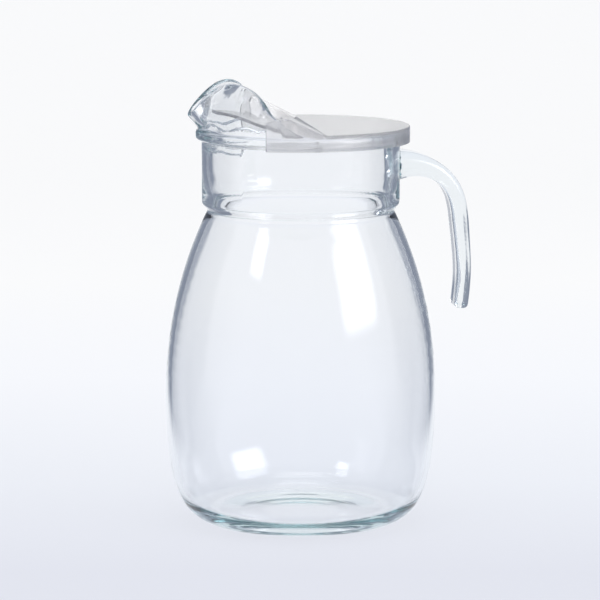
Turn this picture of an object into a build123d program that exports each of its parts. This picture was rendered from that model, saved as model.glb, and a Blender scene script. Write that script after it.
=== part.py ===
from build123d import *
import os
from math import asin, cos, hypot, radians, sin, sqrt, tan

# Glass pitcher with a pinched pouring spout, an open strap handle and a lift-off plastic lid.
# Millimetres. The origin is the centre of the foot, +Z is up, the spout points along -X
# and the handle along +X. The whole pitcher is alike on both sides of the plane Y = 0.

# Barrel of the jug
barrel_radius = 69.0
barrel_height = 66.0
shoulder_arc = 212.0
flank_arc = 300.0
heel_height = 30.0
heel_arc = 58.0
foot_arc = 19.0
foot_push_up = 2.4
foot_ring_width = 3.0
barrel_wall = 2.8
base_thickness = 6.0
inner_foot_arc = 14.0

# Collar and rim of the jug
neck_height = 158.5
neck_radius = 47.6
neck_crease = 1.0
neck_lean = (-0.7, 0.7)
neck_pull = (0.6, 1.2)
collar_bottom = 164.0
collar_radius = 50.2
thick_ring_height = 166.0
thick_ring_radius = 43.8
thick_ring_drop = 11.0
thick_ring_rise = 15.0
mouth_radius = 46.8
rim_height = 200.5
bead_radius = 53.2
bead_height = 4.8
bead_round = 1.6

# Spout: the rim leaves the circle of the collar, climbs to a crest on each side
# and drops to a narrow lip at the front. Rises are measured from the rim.
spout_foot_drop = 3.5
spout_wall = 3.4
lip_reach = 57.6
lip_rise = 7.9
cheek_reach = 50.0
cheek_half_width = 7.6
cheek_rise = 17.1
crest_reach = 36.5
crest_half_width = 16.0
crest_rise = 24.5
flank_reach = 25.4
flank_half_width = 35.0
flank_rise = 19.3
shoulder_reach = 20.8
shoulder_rise = 11.0
under_wing_reach = 14.0
under_wing_rise = 5.5
slope_end = 4.0
lip_overcut = 6.0
lip_overcut_drop = 7.0
spout_flare = 1.35
spout_over_rise = 3.0
over_climb_share = 1.15
spout_level_shares = (0, 0.16, 0.38, 0.66, 1)
spout_rim_round = 1.0

# Handle: gaps are measured from the barrel, drops from the rim, both to the middle of the strap
strap_width = 18.0
strap_round = 0.42
root_width = 22.0
root_thickness = 15.5
root_share = 0.34
root_sink = 2.0
root_drop = 19.1
root_arm_share = 0.53
root_arm_drop = 19.9
knee_gap = 7.2
knee_drop = 28.9
bend_gap = 12.2
bend_drop = 43.0
grip_gap = 14.5
grip_drop = 68.5
grip_thickness = 8.2
tip_gap = 13.0
tip_drop = 93.0
tip_width = 16.0
tip_thickness = 6.8
tip_round = 2.4
taper_share = 0.5
handle_stations = 9

# Lid
lid_fit_gap = 0.5
lid_seat_gap = 0.3
lid_plate = 1.6
skirt_wall = 1.6
skirt_drop = 6.2
skirt_half_opening = 63.0
crease_setback = 4.5
wing_peak_reach = 13.5
wing_peak_rise = 9.2
wing_end_reach = 30.0
wing_end_rise = 4.6
wing_inner_wall = 1.5
roof_end_reach = 16.6
floor_step = 2.6
floor_step_run = 3.5
ramp_slope = 13.5
tongue_reach = 42.0
lid_inner_clearance = 1.3
lid_edge_round = 0.6

# Values worked out from the driving dimensions
wall_root_radius = mouth_radius + spout_wall
spout_foot = rim_height - spout_foot_drop
crest_height = rim_height + crest_rise
skirt_inner_radius = bead_radius + lid_fit_gap
lid_radius = skirt_inner_radius + skirt_wall
lid_underside = rim_height + lid_seat_gap
lid_top = lid_underside + lid_plate
lid_floor = lid_top - floor_step
skirt_bottom = rim_height - skirt_drop
above_all = 2 * rim_height
far_out = 3 * barrel_radius
hair = 0.01


def on_circle(centre, radius, turn):
    """A point in the profile plane, turned down from the outward direction."""
    return centre[0] + radius * cos(turn), centre[1] - radius * sin(turn)


def barrel_line(inset, floor, corner, top):
    """The barrel's wall from the top down to the floor, as arcs that run into each other."""
    shoulder_centre = (barrel_radius - shoulder_arc, barrel_height)
    flank_centre = (barrel_radius - flank_arc, barrel_height)
    heel_turn = asin((barrel_height - heel_height) / flank_arc)
    heel_centre = on_circle(flank_centre, flank_arc - heel_arc, heel_turn)
    reach = heel_arc - inset - corner
    corner_turn = asin((heel_centre[1] - floor - corner) / reach)
    corner_centre = on_circle(heel_centre, reach, corner_turn)
    top_turn = -asin((top - barrel_height) / (shoulder_arc - inset))

    def arc(centre, radius, start, end):
        turns = (start, (start + end) / 2, end)
        return ThreePointArc(*[on_circle(centre, radius, turn) for turn in turns])

    return [
        arc(shoulder_centre, shoulder_arc - inset, top_turn, 0),
        arc(flank_centre, flank_arc - inset, 0, heel_turn),
        arc(heel_centre, heel_arc - inset, heel_turn, corner_turn),
        arc(corner_centre, corner, corner_turn, radians(90)),
    ]


def bead_line():
    """The bead round the rim: a hollow below it, its flat edge and two rounded corners."""
    bottom = rim_height - bead_height
    corner_x = bead_radius - bead_round
    hollow = corner_x - collar_radius
    return [
        CenterArc((corner_x, bottom - hollow), hollow, 90, 90),
        CenterArc((corner_x, bottom + bead_round), bead_round, -90, 90),
        Line((bead_radius, bottom + bead_round), (bead_radius, rim_height - bead_round)),
        CenterArc((corner_x, rim_height - bead_round), bead_round, 0, 90),
    ]


def jug_profile():
    """Half section of the jug in the XZ plane, as one closed line: outside, rim, inside, foot."""
    outer = barrel_line(0, 0, foot_arc, neck_height - neck_crease)
    inner = barrel_line(barrel_wall, base_thickness, inner_foot_arc,
                        thick_ring_height - thick_ring_drop)
    shoulder_top = outer[0] @ 0
    foot_edge = outer[-1] @ 1
    inner_top = inner[0] @ 0
    inner_floor = inner[-1] @ 1
    ring_inside = foot_edge.X - foot_ring_width
    mouth_bottom = thick_ring_height + thick_ring_rise
    bead = bead_line()
    bead_start = bead[0] @ 1
    neck = Spline((shoulder_top.X, shoulder_top.Y), (neck_radius, neck_height + neck_crease),
                  (collar_radius, collar_bottom),
                  tangents=(neck_lean, (0, 1)), tangent_scalars=neck_pull)
    collar = Line((collar_radius, collar_bottom), (bead_start.X, bead_start.Y))
    rim = Line((bead_radius - bead_round, rim_height), (mouth_radius, rim_height))
    mouth = Line((mouth_radius, rim_height), (mouth_radius, mouth_bottom))
    inner_lean = inner[0] % 0
    waist = Spline((mouth_radius, mouth_bottom), (thick_ring_radius, thick_ring_height),
                   (inner_top.X, inner_top.Y),
                   tangents=((0, -1), (inner_lean.X, inner_lean.Y)))
    floor = Line((inner_floor.X, inner_floor.Y), (0, base_thickness))
    axis_line = Line((0, base_thickness), (0, foot_push_up))
    push_up = TangentArc((0, foot_push_up), (ring_inside, 0), tangent=(1, 0))
    foot_ring = Line((ring_inside, 0), (foot_edge.X, foot_edge.Y))
    lines = outer + [neck, collar] + bead + [rim, mouth, waist]
    lines += inner + [floor, axis_line, push_up, foot_ring]
    return make_face(Plane.XZ * (Curve() + lines))


def rim_points():
    """The spout's rim from the lip back to the circle of the collar, seen from above,
    as (reach along -X, half width, height)."""
    shoulder_half_width = sqrt(wall_root_radius ** 2 - shoulder_reach ** 2)
    return [
        (lip_reach, 0.0, rim_height + lip_rise),
        (cheek_reach, cheek_half_width, rim_height + cheek_rise),
        (crest_reach, crest_half_width, crest_height),
        (flank_reach, flank_half_width, rim_height + flank_rise),
        (shoulder_reach, shoulder_half_width, rim_height + shoulder_rise),
    ]


def plan_face(path, inset):
    """The closed plan shape whose front follows the path, given from the lip back as
    (reach, half width), and whose back is the circle of the collar, drawn in by the inset."""
    last = len(path) - 1
    inner = []
    for index, (reach, half_width) in enumerate(path):
        if index == last:
            size = hypot(reach, half_width)
            normal = (-reach / size, -half_width / size)
        else:
            before = path[index - 1] if index else (path[1][0], -path[1][1])
            after = path[index + 1]
            size = hypot(after[0] - before[0], after[1] - before[1])
            normal = ((before[1] - after[1]) / size, (after[0] - before[0]) / size)
        inner.append((reach + normal[0] * inset, half_width + normal[1] * inset))
    end = inner[-1]
    radius = wall_root_radius - inset
    along = (end[1] / radius, end[0] / radius)
    back = ThreePointArc((-end[0], end[1]), (radius, 0), (-end[0], -end[1]))
    near = Spline(*[(-reach, -half) for reach, half in reversed(inner)],
                  tangents=((-along[0], along[1]), (0, 1)))
    far = Spline(*[(-reach, half) for reach, half in inner],
                 tangents=((0, 1), along))
    return make_face(Curve() + [back, near, far])


def collar_circle(radius, end_turn):
    """The full circle, cut into the same three edges as the plan shapes above it."""
    def at(turn):
        return -radius * cos(turn), radius * sin(turn)

    back = ThreePointArc(at(end_turn), (radius, 0), at(-end_turn))
    near = ThreePointArc(at(-end_turn), at(-end_turn / 2), at(0))
    far = ThreePointArc(at(0), at(end_turn / 2), at(end_turn))
    return make_face(Curve() + [back, near, far])


def spout_section(height, inset):
    """A level section of the spout: the circle of the collar at its foot, drawn in
    towards the rim's plan shape as it climbs."""
    points = rim_points()
    end_turn = asin(points[-1][1] / wall_root_radius)
    if height <= spout_foot:
        return Plane.XY.offset(height) * collar_circle(wall_root_radius - inset, end_turn)
    path = []
    for index, (reach, half_width, top) in enumerate(points):
        turn = end_turn * index / (len(points) - 1)
        root = (wall_root_radius * cos(turn), wall_root_radius * sin(turn))
        climb = (height - spout_foot) / (top - spout_foot)
        share = min(climb, over_climb_share) ** spout_flare
        path.append((root[0] + (reach - root[0]) * share,
                     root[1] + (half_width - root[1]) * share))
    return Plane.XY.offset(height) * plan_face(path, inset)


def spout_loft(inset):
    """The spout from its foot to above its crests, drawn in by the inset."""
    rise = crest_height + spout_over_rise - spout_foot
    levels = [spout_foot + rise * share for share in spout_level_shares]
    return loft([spout_section(level, inset) for level in levels])


def side_block(corners):
    """A closed line of corners in side view, drawn straight through the whole width."""
    outline = [Line(a, b) for a, b in zip(corners, corners[1:] + corners[:1])]
    return extrude(make_face(Plane.XZ * (Curve() + outline)), far_out, both=True)


def rim_cutter():
    """Everything above the spout's rim line in side view."""
    line = [(-reach, top) for reach, _, top in rim_points()]
    beyond = (-lip_reach - lip_overcut, rim_height + lip_rise - lip_overcut_drop)
    climb = Spline(beyond, *line, (-under_wing_reach, rim_height + under_wing_rise),
                   (slope_end, rim_height), tangents=((0.6, 1), (1, 0)))
    corners = [(slope_end, rim_height), (far_out, rim_height), (far_out, above_all),
               (-far_out, above_all), (-far_out, beyond[1]), beyond]
    sides = [Line(a, b) for a, b in zip(corners, corners[1:])]
    return extrude(make_face(Plane.XZ * (Curve() + [climb] + sides)), far_out, both=True)


def make_jug_body():
    """The turned vessel with the spout lofted on its collar, opened, trimmed to the rim line
    and rounded all along the rim."""
    vessel = revolve(jug_profile(), Axis.Z)
    jug = vessel + spout_loft(0) - spout_loft(spout_wall) - rim_cutter()
    cut_kinds = (GeomType.EXTRUSION, GeomType.PLANE)
    rim_edges = []
    for face in jug.faces():
        if face.center().Z > rim_height - hair and face.geom_type in cut_kinds:
            rim_edges += face.edges()
    bead_edge = bead_radius - bead_round - hair
    sharp = [edge for edge in rim_edges
             if sum(edge.is_same(other) for other in rim_edges) == 1
             and not (edge.geom_type == GeomType.CIRCLE and edge.radius > bead_edge)]
    return fillet(sharp, spout_rim_round)


def handle_line():
    """The middle of the strap in side view, from inside the collar to the open tip."""
    knee_reach = barrel_radius + knee_gap
    root_arm = (knee_reach - collar_radius) * root_arm_share
    line = Spline(
        (collar_radius - root_sink, rim_height - root_drop),
        (collar_radius + root_arm, rim_height - root_arm_drop),
        (knee_reach, rim_height - knee_drop),
        (barrel_radius + bend_gap, rim_height - bend_drop),
        (barrel_radius + grip_gap, rim_height - grip_drop),
        (barrel_radius + tip_gap, rim_height - tip_drop),
        tangents=((1, 0.05), (-0.12, -1)))
    return Plane.XZ * line


def strap_size(share):
    """The strap's width and thickness at a share of its length: full at the root, then even,
    then slightly slimmer towards the tip."""
    slim = min(1.0, share / root_share)
    thickness = root_thickness + (grip_thickness - root_thickness) * sin(radians(90) * slim)
    width = strap_width + (root_width - strap_width) * (1 - slim) ** 2
    taper = max(0.0, (share - taper_share) / (1 - taper_share))
    thickness += (tip_thickness - grip_thickness) * taper
    width += (tip_width - strap_width) * taper
    return width, thickness


def make_handle():
    """The open strap: stations along one smooth line, each a rounded strap section."""
    line = handle_line()
    sections = []
    for index in range(handle_stations):
        share = index / (handle_stations - 1)
        width, thickness = strap_size(share)
        place = Plane(origin=line @ share, x_dir=(0, 1, 0), z_dir=line % share)
        sections.append(place * RectangleRounded(width, thickness, thickness * strap_round))
    strap = loft(sections)
    end_face = strap.faces().sort_by(Axis.Z)[0]
    strap = fillet(end_face.edges(), tip_round)
    collar = Cylinder(collar_radius, above_all, align=(Align.CENTER, Align.CENTER, Align.MIN))
    return strap - collar


def skirt_opening():
    """A wedge of the full height that opens towards the spout, where the skirt is left out."""
    reach = 2 * lid_radius
    edge_x = -lid_radius * cos(radians(skirt_half_opening))
    edge_y = lid_radius * sin(radians(skirt_half_opening))
    sides = Polyline((0, 0), (edge_x, edge_y), (-reach, edge_y), (-reach, -edge_y),
                     (edge_x, -edge_y), close=True)
    return extrude(make_face(sides), above_all)


def ring(inner, outer, low, high):
    """A plain tube about the axis between two heights."""
    return Plane.XY.offset(low) * extrude(Circle(outer) - Circle(inner), high - low)


def ahead_of(x):
    """Everything on the spout's side of a plane across the jug."""
    towards_spout = (Align.MAX, Align.CENTER, Align.MIN)
    return Pos(x, 0, 0) * Box(far_out, 2 * far_out, above_all, align=towards_spout)


def below(line):
    """Everything below a line in side view, over the line's own length."""
    return side_block(line + [(line[-1][0], 0), (line[0][0], 0)])


def lowered(line, drop):
    return [(x, z - drop) for x, z in line]


def make_lid():
    """Flat top with a skirt over the bead, two raised wings over the climbing rim,
    and a sunken floor that climbs as a ramp to the tongue in the spout."""
    plate_radius = mouth_radius - lid_inner_clearance
    inner_ring_radius = plate_radius - wing_inner_wall
    disc = Plane.XY.offset(lid_underside) * extrude(Circle(lid_radius), lid_plate)
    disc = fillet(disc.edges().group_by(Axis.Z)[-1], lid_edge_round)
    top = disc - ahead_of(crease_setback)
    skirt = ring(skirt_inner_radius, lid_radius, skirt_bottom, lid_top - lid_edge_round)

    # Wings: a raised outer wall on each side and a roof behind the spout
    wing_top = [(crease_setback, lid_top), (-wing_peak_reach, lid_top + wing_peak_rise),
                (-wing_end_reach, lid_top + wing_end_rise)]
    under_wings = below(wing_top)
    outer_wall = ring(skirt_inner_radius, lid_radius, skirt_bottom, above_all) & under_wings
    roof = ring(inner_ring_radius, lid_radius, skirt_bottom, above_all) & under_wings
    roof -= below(lowered(wing_top, lid_plate))
    roof -= ahead_of(-roof_end_reach)

    # Sunken floor: a step down from the crease, then the ramp and the tongue
    step_end = crease_setback - floor_step_run
    ramp_end = lid_floor + tan(radians(ramp_slope)) * (tongue_reach + step_end)
    ramp_top = [(crease_setback, lid_top), (step_end, lid_floor), (-tongue_reach, ramp_end)]
    under_ramp = below(lowered(ramp_top, lid_plate))
    path = [(reach, half_width) for reach, half_width, _ in rim_points()]
    inside_spout = extrude(plan_face(path, spout_wall + lid_inner_clearance), above_all)
    floor = (below(ramp_top) - under_ramp) & inside_spout

    # Inner walls that join the floor to the roofs
    inner_wall = ring(inner_ring_radius, plate_radius, lid_floor - lid_plate, above_all)
    inner_wall = (inner_wall & under_wings & inside_spout) - under_ramp
    inner_wall -= ahead_of(-roof_end_reach)
    gap = skirt_opening()
    return top + (skirt - gap) + (outer_wall - gap) + roof + floor + inner_wall


if __name__ == "__main__":
    os.makedirs("parts", exist_ok=True)
    makers = {"jug_body": make_jug_body, "handle": make_handle, "lid": make_lid}
    for name, make in makers.items():
        piece = make()
        print(name, round(piece.volume), piece.is_valid, len(piece.solids()))
        export_step(piece, f"parts/{name}.step")
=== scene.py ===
from math import atan2, cos, hypot, pi, radians, sin

import bmesh
import bpy
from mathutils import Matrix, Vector


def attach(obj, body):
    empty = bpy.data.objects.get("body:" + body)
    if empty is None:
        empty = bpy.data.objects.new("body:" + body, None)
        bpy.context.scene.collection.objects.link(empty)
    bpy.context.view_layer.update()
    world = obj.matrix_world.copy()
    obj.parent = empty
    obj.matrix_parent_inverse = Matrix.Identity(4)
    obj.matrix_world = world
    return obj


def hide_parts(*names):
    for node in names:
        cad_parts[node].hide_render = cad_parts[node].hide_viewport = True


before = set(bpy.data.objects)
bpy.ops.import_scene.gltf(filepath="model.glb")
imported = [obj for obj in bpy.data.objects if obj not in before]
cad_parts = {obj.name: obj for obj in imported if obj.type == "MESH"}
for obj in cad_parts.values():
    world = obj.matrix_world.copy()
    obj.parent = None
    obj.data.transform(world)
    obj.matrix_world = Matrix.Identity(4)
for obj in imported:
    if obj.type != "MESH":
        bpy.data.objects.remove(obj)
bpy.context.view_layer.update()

# Glass pitcher with a translucent pouring lid, on a pale sweep under soft studio lights.
# Everything is in metres, in the frame of the CAD model: the foot stands on Z = 0,
# the spout points along -X and the handle along +X.

# Camera, fitted to the photograph: 1.6 m away, 9 degrees round from the side, looking slightly down
camera_place = Vector((-0.2503, -1.5803, 0.365))
camera_target = Vector((0.0, 0.0, 0.1128))
camera_lens = 190.6
camera_sensor = 36.0
camera_shift = -0.00117
camera_near = 0.05

# World: an even fill that lights the object, and darker walls for what the glass shows
fill_colour = (0.97, 0.98, 1.0, 1.0)
fill_strength = 0.8
wall_colour = (0.86, 0.93, 1.0, 1.0)
wall_strength = 0.55

# Sweep: a round floor that curves up into a wall on all sides. It lies a little below
# the foot ring, so that the two surfaces don't share a plane.
floor_radius = 1.5
floor_drop = 0.0002
sweep_radius = 0.7
sweep_top = 1.9
sweep_bend_steps = 20
sweep_turn_steps = 96
sweep_join = 1e-5

# Painted light falloff on the sweep: its colour darkens in front of the jug and lightens by
# distance behind it, away from the camera
painted_falloff_tones = (
    (-0.12, (0.77, 0.79, 0.865)),
    (0.08, (0.855, 0.88, 0.94)),
    (0.40, (0.94, 0.955, 0.995)),
    (0.80, (0.985, 0.99, 1.0)),
)

# Beside a pale strip that runs away from the camera and widens, the sweep is painted grey, as
# painted shade of the unlit studio sides.
# The camera itself sees the strip a little wider than reflections and the glass do.
painted_side_shade_colour = (0.25, 0.28, 0.35, 1.0)
side_start = -0.15
side_full = 0.10
strip_half_width = 0.12
strip_widening = 0.11
strip_inset = 0.06
strip_fade = 0.10

# How much of the sweep's colour is shown as it is, without light and shadow on it
seen_share = 0.9

# Softboxes: the share of their width over which the light falls off, at each edge
softbox_fade = 0.28

# Glass
glass_tint = (0.985, 0.989, 0.999, 1.0)
glass_index = 1.5
absorption_colour = (0.10, 0.45, 0.50, 1.0)
absorption_density = 5.0
glass_wave_scale = 38.0
glass_wave_detail = 2.0
glass_wave_roughness = 0.4
glass_wave_bump = 0.02
glass_wave_depth = 0.002
glass_bounces = 64

# Fusing the handle to the jug
point_join = 1e-6
root_reach = 0.0001
handle_sink = 0.001
collar_wall = 0.0034
sharp_angle = 32.0

# The thick ring inside the collar
ring_bottom = 0.1545
ring_top = 0.190
ring_lift = 0.003
ring_softening = 0.8
ring_margin = 0.0003

# Lid
plastic_colour = (0.995, 0.988, 0.985, 1.0)
plastic_dark = (0.98, 0.97, 0.967, 1.0)
plastic_index = 1.5
plastic_clearness = 0.86
plastic_smoothest = 0.14
plastic_roughest = 0.22
flow_scale = 45.0
flow_detail = 3.0
grain_scale = 2600.0
grain_detail = 2.0
grain_bump = 0.03
grain_depth = 0.0002
lid_join = 1e-5
lid_edge = 0.0003
lid_edge_steps = 2


def add_node(tree, kind, values=(), **settings):
    """A shader node with its settings and, by socket name, its values."""
    node = tree.nodes.new(kind)
    for name, value in settings.items():
        setattr(node, name, value)
    for name, value in dict(values).items():
        node.inputs[name].default_value = value
    return node


def maths(tree, operation, *terms):
    """A math node's result. Each term is a number or the output of another node."""
    node = add_node(tree, "ShaderNodeMath", operation=operation)
    for index, term in enumerate(terms):
        if isinstance(term, float):
            node.inputs[index].default_value = term
        else:
            tree.links.new(term, node.inputs[index])
    return node.outputs[0]


def smooth_step(tree, value, start, end):
    """0 up to the start, 1 from the end on, and smooth between them."""
    step = add_node(tree, "ShaderNodeMapRange", {"From Min": start, "From Max": end},
                    interpolation_type="SMOOTHSTEP")
    tree.links.new(value, step.inputs["Value"])
    return step.outputs["Result"]


def empty_tree(owner):
    owner.use_nodes = True
    owner.node_tree.nodes.clear()
    return owner.node_tree


def seen_directly(tree):
    """1 for what the camera, a reflection or a look through glass sees, otherwise 0."""
    path = add_node(tree, "ShaderNodeLightPath")
    either = maths(tree, "MAXIMUM", path.outputs["Is Camera Ray"], path.outputs["Is Glossy Ray"])
    return maths(tree, "MAXIMUM", either, path.outputs["Is Transmission Ray"])


def make_camera():
    data = bpy.data.cameras.new("camera")
    data.lens = camera_lens
    data.sensor_width = camera_sensor
    data.shift_x = camera_shift
    data.clip_start = camera_near
    camera = bpy.data.objects.new("camera", data)
    camera.location = camera_place
    camera.rotation_euler = (camera_target - camera_place).to_track_quat("-Z", "Y").to_euler()
    bpy.context.scene.collection.objects.link(camera)
    bpy.context.scene.camera = camera


def soften_edges(light):
    """A softbox's cloth is brightest in the middle and falls off towards its frame."""
    tree = empty_tree(light)
    place = add_node(tree, "ShaderNodeNewGeometry")
    split = add_node(tree, "ShaderNodeSeparateXYZ")
    tree.links.new(place.outputs["Parametric"], split.inputs[0])
    falloffs = []
    for axis in ("X", "Y"):
        offset = maths(tree, "SUBTRACT", split.outputs[axis], 0.5)
        distance = maths(tree, "ABSOLUTE", offset)
        falloffs.append(smooth_step(tree, distance, 0.5, 0.5 - softbox_fade))
    cloth = add_node(tree, "ShaderNodeEmission")
    output = add_node(tree, "ShaderNodeOutputLight")
    tree.links.new(maths(tree, "MULTIPLY", *falloffs), cloth.inputs["Strength"])
    tree.links.new(cloth.outputs[0], output.inputs["Surface"])


def make_softbox(name, turn, climb, distance, size, strength):
    """A softbox aimed at the jug. Its turn is measured to the right of the camera and its
    climb above the middle of the jug, in degrees. Its strength is the brightness of the
    middle of its cloth, where 1 is white."""
    data = bpy.data.lights.new(name, "AREA")
    data.shape = "RECTANGLE"
    data.size, data.size_y = size
    data.energy = strength * pi * size[0] * size[1]
    soften_edges(data)
    away = camera_place - camera_target
    heading = atan2(away.y, away.x) + radians(turn)
    level = distance * cos(radians(climb))
    offset = Vector((level * cos(heading), level * sin(heading), distance * sin(radians(climb))))
    light = bpy.data.objects.new(name, data)
    light.location = camera_target + offset
    light.rotation_euler = (-offset).to_track_quat("-Z", "Y").to_euler()
    bpy.context.scene.collection.objects.link(light)


def make_world():
    """Even soft light, and darker studio walls for what glass shows at its edges."""
    world = bpy.data.worlds.new("studio")
    bpy.context.scene.world = world
    tree = empty_tree(world)
    fill = add_node(tree, "ShaderNodeBackground",
                    {"Color": fill_colour, "Strength": fill_strength})
    walls = add_node(tree, "ShaderNodeBackground",
                     {"Color": wall_colour, "Strength": wall_strength})
    mix = add_node(tree, "ShaderNodeMixShader")
    output = add_node(tree, "ShaderNodeOutputWorld")
    tree.links.new(seen_directly(tree), mix.inputs[0])
    tree.links.new(fill.outputs[0], mix.inputs[1])
    tree.links.new(walls.outputs[0], mix.inputs[2])
    tree.links.new(mix.outputs[0], output.inputs["Surface"])


def painted_falloff_tone(tree, depth):
    """Painted light falloff on the paper: its colour by its distance behind the jug."""
    nearest, farthest = painted_falloff_tones[0][0], painted_falloff_tones[-1][0]
    tone = add_node(tree, "ShaderNodeMapRange", {"From Min": nearest, "From Max": farthest})
    ramp = add_node(tree, "ShaderNodeValToRGB")
    for index, (distance, shade) in enumerate(painted_falloff_tones):
        stops = ramp.color_ramp.elements
        stop = stops[index] if index < 2 else stops.new(1.0)
        stop.position = (distance - nearest) / (farthest - nearest)
        stop.color = (*shade, 1.0)
    tree.links.new(depth, tone.inputs["Value"])
    tree.links.new(tone.outputs["Result"], ramp.inputs["Fac"])
    return ramp.outputs["Color"]


def painted_side_shade(tree, across, depth):
    """Painted shade mask: 0 on the pale strip and in front of the jug, 1 at the grey sides."""
    path = add_node(tree, "ShaderNodeLightPath")
    behind = maths(tree, "MAXIMUM", depth, 0.0)
    width = maths(tree, "MULTIPLY_ADD", behind, strip_widening, strip_half_width)
    edge = maths(tree, "MULTIPLY_ADD", path.outputs["Is Camera Ray"], strip_inset, width)
    beyond = maths(tree, "SUBTRACT", maths(tree, "ABSOLUTE", across), edge)
    beside = smooth_step(tree, beyond, 0.0, strip_fade)
    reach = smooth_step(tree, depth, side_start, side_full)
    return maths(tree, "MULTIPLY", beside, reach)


def sweep_material():
    """Matt pale paper that keeps the shadow, with painted light falloff along it. The painted shade
    in grey on both sides of the pale strip draws the dark lines at the edges of clear glass."""
    material = bpy.data.materials.new("sweep_paper")
    tree = empty_tree(material)
    away = camera_target - camera_place
    place = add_node(tree, "ShaderNodeTexCoord")
    turned = add_node(tree, "ShaderNodeVectorRotate", {"Angle": atan2(away.x, away.y)},
                      rotation_type="Z_AXIS")
    split = add_node(tree, "ShaderNodeSeparateXYZ")
    colour = add_node(tree, "ShaderNodeMix", data_type="RGBA")
    colour.inputs["B"].default_value = painted_side_shade_colour
    paper = add_node(tree, "ShaderNodeBsdfDiffuse")
    glow = add_node(tree, "ShaderNodeEmission")
    mix = add_node(tree, "ShaderNodeMixShader")
    output = add_node(tree, "ShaderNodeOutputMaterial")
    link = tree.links.new
    link(place.outputs["Object"], turned.inputs["Vector"])
    link(turned.outputs[0], split.inputs[0])
    across, depth = split.outputs["X"], split.outputs["Y"]
    # Painted shade: the paper turns grey beside the pale strip.
    link(painted_side_shade(tree, across, depth), colour.inputs["Factor"])
    # The paper's colour carries a painted light falloff, darker in front of the jug.
    link(painted_falloff_tone(tree, depth), colour.inputs["A"])
    link(colour.outputs["Result"], paper.inputs["Color"])
    link(colour.outputs["Result"], glow.inputs["Color"])
    link(maths(tree, "MULTIPLY", seen_directly(tree), seen_share), mix.inputs[0])
    link(paper.outputs[0], mix.inputs[1])
    link(glow.outputs[0], mix.inputs[2])
    link(mix.outputs[0], output.inputs["Surface"])
    return material


def make_sweep():
    """A round floor whose rim curves up into a wall, so that every side has the same setting."""
    line = [(0.0, -floor_drop), (floor_radius, -floor_drop)]
    for step in range(1, sweep_bend_steps + 1):
        turn = radians(90) * step / sweep_bend_steps
        line.append((floor_radius + sweep_radius * sin(turn), sweep_radius * (1 - cos(turn))))
    line.append((floor_radius + sweep_radius, sweep_top))
    work = bmesh.new()
    verts = [work.verts.new((reach, 0.0, height)) for reach, height in line]
    edges = [work.edges.new(pair) for pair in zip(verts, verts[1:])]
    bmesh.ops.spin(work, geom=verts + edges, axis=(0, 0, 1), cent=(0, 0, 0),
                   angle=radians(360), steps=sweep_turn_steps, use_merge=True)
    bmesh.ops.remove_doubles(work, verts=work.verts, dist=sweep_join)
    mesh = bpy.data.meshes.new("sweep")
    work.to_mesh(mesh)
    work.free()
    mesh.shade_smooth()
    mesh.materials.append(sweep_material())
    sweep = bpy.data.objects.new("sweep", mesh)
    bpy.context.scene.collection.objects.link(sweep)


def glass_material():
    """Clear soda glass with a faint blue-green body and the slight waviness of pressed glass."""
    material = bpy.data.materials.new("clear_glass")
    tree = empty_tree(material)
    place = add_node(tree, "ShaderNodeTexCoord")
    waves = add_node(tree, "ShaderNodeTexNoise", {
        "Scale": glass_wave_scale,
        "Detail": glass_wave_detail,
        "Roughness": glass_wave_roughness,
    })
    bump = add_node(tree, "ShaderNodeBump",
                    {"Strength": glass_wave_bump, "Distance": glass_wave_depth})
    glass = add_node(tree, "ShaderNodeBsdfPrincipled", {
        "Base Color": glass_tint,
        "Roughness": 0.0,
        "IOR": glass_index,
        "Transmission Weight": 1.0,
    })
    depth = add_node(tree, "ShaderNodeVolumeAbsorption",
                     {"Color": absorption_colour, "Density": absorption_density})
    output = add_node(tree, "ShaderNodeOutputMaterial")
    tree.links.new(place.outputs["Object"], waves.inputs["Vector"])
    tree.links.new(waves.outputs["Fac"], bump.inputs["Height"])
    tree.links.new(bump.outputs["Normal"], glass.inputs["Normal"])
    tree.links.new(glass.outputs[0], output.inputs["Surface"])
    tree.links.new(depth.outputs[0], output.inputs["Volume"])
    return material


def plastic_material():
    """Milky moulded polyethylene: satin, lets light through, slightly uneven in tone."""
    material = bpy.data.materials.new("milky_plastic")
    tree = empty_tree(material)
    place = add_node(tree, "ShaderNodeTexCoord")
    flow = add_node(tree, "ShaderNodeTexNoise", {"Scale": flow_scale, "Detail": flow_detail})
    tone = add_node(tree, "ShaderNodeValToRGB")
    tone.color_ramp.elements[0].color = plastic_dark
    tone.color_ramp.elements[1].color = plastic_colour
    gloss = add_node(tree, "ShaderNodeMapRange",
                     {"To Min": plastic_smoothest, "To Max": plastic_roughest})
    grain = add_node(tree, "ShaderNodeTexNoise", {"Scale": grain_scale, "Detail": grain_detail})
    bump = add_node(tree, "ShaderNodeBump", {"Strength": grain_bump, "Distance": grain_depth})
    plastic = add_node(tree, "ShaderNodeBsdfPrincipled",
                       {"IOR": plastic_index, "Transmission Weight": plastic_clearness})
    output = add_node(tree, "ShaderNodeOutputMaterial")
    tree.links.new(place.outputs["Object"], flow.inputs["Vector"])
    tree.links.new(place.outputs["Object"], grain.inputs["Vector"])
    tree.links.new(flow.outputs["Fac"], tone.inputs["Fac"])
    tree.links.new(flow.outputs["Fac"], gloss.inputs["Value"])
    tree.links.new(grain.outputs["Fac"], bump.inputs["Height"])
    tree.links.new(tone.outputs["Color"], plastic.inputs["Base Color"])
    tree.links.new(gloss.outputs["Result"], plastic.inputs["Roughness"])
    tree.links.new(bump.outputs["Normal"], plastic.inputs["Normal"])
    tree.links.new(plastic.outputs[0], output.inputs["Surface"])
    return material


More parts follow.
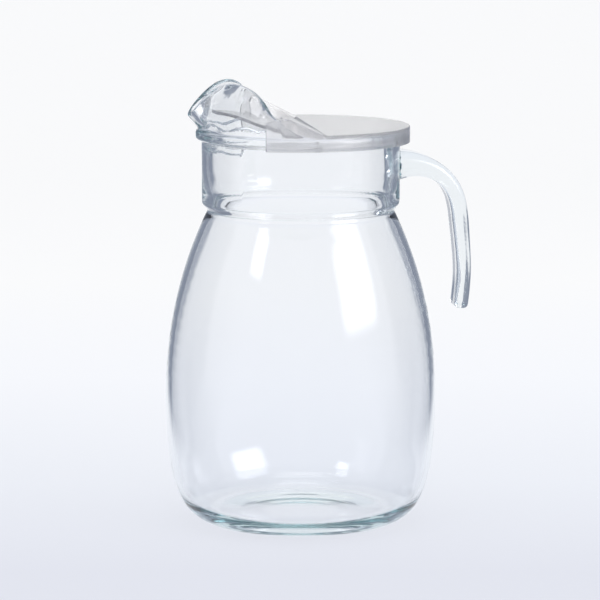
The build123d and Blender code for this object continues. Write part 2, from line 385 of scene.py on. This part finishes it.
def node_copy(name):
    """A CAD node's mesh as a new object of its own, closed and with its points joined."""
    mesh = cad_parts[name].data.copy()
    work = bmesh.new()
    work.from_mesh(mesh)
    bmesh.ops.remove_doubles(work, verts=work.verts, dist=point_join)
    work.to_mesh(mesh)
    work.free()
    copy = bpy.data.objects.new(name + "_glass", mesh)
    bpy.context.scene.collection.objects.link(copy)
    return copy


def sink_root(mesh, collar_radius):
    """Move the handle's root, which only touches the collar, a little into the glass."""
    for vertex in mesh.vertices:
        reach = hypot(vertex.co.x, vertex.co.y)
        if reach < collar_radius + root_reach:
            share = (reach - handle_sink) / reach
            vertex.co.x *= share
            vertex.co.y *= share


def soften_ring(mesh, mouth_radius):
    """The thick ring inside the collar, seen through the glass, is softer than in the CAD
    model and sits a little higher."""
    middle = (ring_bottom + ring_top) / 2
    half = (ring_top - ring_bottom) / 2
    inner_side = mouth_radius + ring_margin
    for vertex in mesh.vertices:
        share = 1 - abs(vertex.co.z - middle) / half
        reach = hypot(vertex.co.x, vertex.co.y)
        if share > 0 and reach < inner_side:
            weight = sin(radians(90) * share) ** 2
            vertex.co.z += ring_lift * weight
            wider = 1 + ring_softening * weight * (mouth_radius / reach - 1)
            vertex.co.x *= wider
            vertex.co.y *= wider


def joined_mesh(base, part):
    """The union of two closed meshes as a new mesh. The two objects are removed."""
    fuse = base.modifiers.new("fuse", "BOOLEAN")
    fuse.operation = "UNION"
    fuse.solver = "MANIFOLD"
    fuse.object = part
    bpy.context.view_layer.update()
    result = base.evaluated_get(bpy.context.evaluated_depsgraph_get())
    mesh = bpy.data.meshes.new_from_object(result)
    for leftover in (base, part):
        bpy.data.objects.remove(leftover)
    return mesh


def make_glass():
    """The jug and its handle as one closed piece of glass, fused at the collar."""
    jug = node_copy("jug_body")
    handle = node_copy("handle")
    collar_radius = min(hypot(v.co.x, v.co.y) for v in handle.data.vertices)
    sink_root(handle.data, collar_radius)
    mesh = joined_mesh(jug, handle)
    mesh.name = "glass_jug"
    soften_ring(mesh, collar_radius - collar_wall)
    mesh.materials.clear()
    mesh.materials.append(glass_material())
    mesh.shade_smooth()
    mesh.set_sharp_from_angle(angle=radians(sharp_angle))
    piece = bpy.data.objects.new("glass_jug", mesh)
    bpy.context.scene.collection.objects.link(piece)
    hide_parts("jug_body", "handle")
    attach(piece, "jug")


def dress_lid():
    """The lid keeps its CAD shape, with softened edges and its moulded plastic."""
    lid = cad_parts["lid"]
    lid.data.materials.clear()
    lid.data.materials.append(plastic_material())
    join = lid.modifiers.new("join", "WELD")
    join.merge_threshold = lid_join
    soft = lid.modifiers.new("soft_edges", "BEVEL")
    soft.width = lid_edge
    soft.segments = lid_edge_steps
    soft.limit_method = "ANGLE"
    soft.angle_limit = radians(sharp_angle)
    soft.harden_normals = True


def set_look():
    """Plain colours, and enough bounces for light that is reflected inside the thick base."""
    scene = bpy.context.scene
    scene.view_settings.view_transform = "Standard"
    scene.cycles.max_bounces = glass_bounces
    scene.cycles.glossy_bounces = glass_bounces
    scene.cycles.transmission_bounces = glass_bounces


make_camera()
make_world()
make_sweep()
make_softbox("softbox_right", turn=57, climb=23, distance=1.3, size=(1.0, 0.76), strength=4.8)
make_softbox("softbox_left", turn=-48, climb=32, distance=1.3, size=(0.36, 0.40), strength=4.2)
make_softbox("softbox_top", turn=0, climb=82, distance=1.4, size=(1.0, 1.0), strength=3.6)
make_glass()
dress_lid()
set_look()
